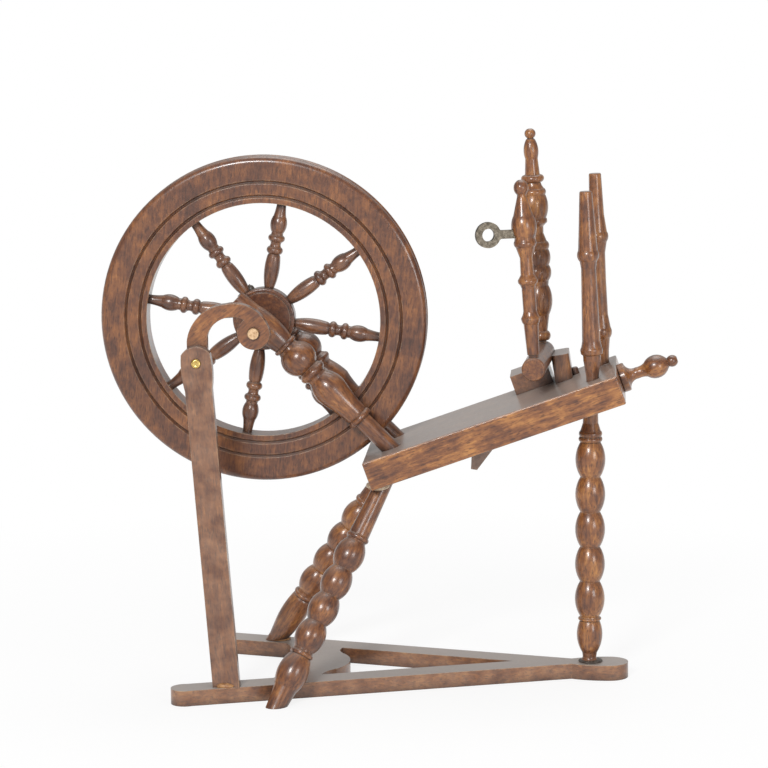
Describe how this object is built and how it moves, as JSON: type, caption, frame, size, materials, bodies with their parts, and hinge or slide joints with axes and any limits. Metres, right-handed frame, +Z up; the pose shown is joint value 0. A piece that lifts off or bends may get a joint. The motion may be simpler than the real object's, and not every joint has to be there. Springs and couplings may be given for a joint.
{
  "type": "spinning wheel",
  "caption": "Miniature slant-bed spinning wheel of turned wood: spoked wheel on two leaning posts, treadle board, crank and footman, maidens with a metal eye, and tension knob.",
  "frame": {"origin": "on the surface the model stands on, under the treadle board's foot plate", "axes": "+Z up, +X from the wheel towards the flyer end along the table, +Y away from the crank and footman side"},
  "size_m": [0.0962, 0.0416, 0.0919],
  "materials": {
    "wood": "stained and satin lacquered",
    "raw_wood": "unstained end grain",
    "brass": "polished",
    "bronze": "dull bronze"
  },
  "bodies": {
    "frame": {"table": "wood", "treadle_board": "wood", "front_leg": "wood", "near_rear_leg": "wood", "far_rear_leg": "wood", "near_wheel_post": "wood", "far_wheel_post": "wood", "crank_arm": "wood", "crank_pin": "brass", "footman": "wood", "mother_of_all_block": "wood", "mother_of_all_bar": "wood", "mother_of_all_cheek": "wood", "mother_of_all_peg": "wood", "table_key": "wood", "near_upright": "wood", "far_upright": "wood"},
    "wheel": {"wheel_rim": "wood", "wheel_hub": "wood", "axle": "raw_wood", "spoke_1": "wood", "spoke_2": "wood", "spoke_3": "wood", "spoke_4": "wood", "spoke_5": "wood", "spoke_6": "wood", "spoke_7": "wood", "spoke_8": "wood"},
    "near_maiden": {"near_maiden": "wood", "flyer_eye": "bronze"},
    "far_maiden": {"far_maiden": "wood"},
    "tension_knob": {"tension_knob": "wood"}
  },
  "joints": [
    {"name": "wheel_spin", "type": "hinge", "parent": "frame", "child": "wheel", "pos_m": [-0.009, 0, 0.06115], "axis": [0, 1, 0], "continuous": true},
    {"name": "tension_knob_turn", "type": "hinge", "parent": "frame", "child": "tension_knob", "pos_m": [0.05036, 0, 0.05073], "axis": [0.9449, 0, 0.3272], "continuous": true},
    {"name": "near_maiden_turn", "type": "hinge", "parent": "frame", "child": "near_maiden", "pos_m": [0.03601, -0.00657, 0.05554], "axis": [-0.0663, 0, 0.9978], "range_deg": [-90, 90]},
    {"name": "far_maiden_turn", "type": "hinge", "parent": "frame", "child": "far_maiden", "pos_m": [0.03718, 0.00657, 0.05594], "axis": [-0.0506, 0, 0.9987], "range_deg": [-90, 90]}
  ]
}
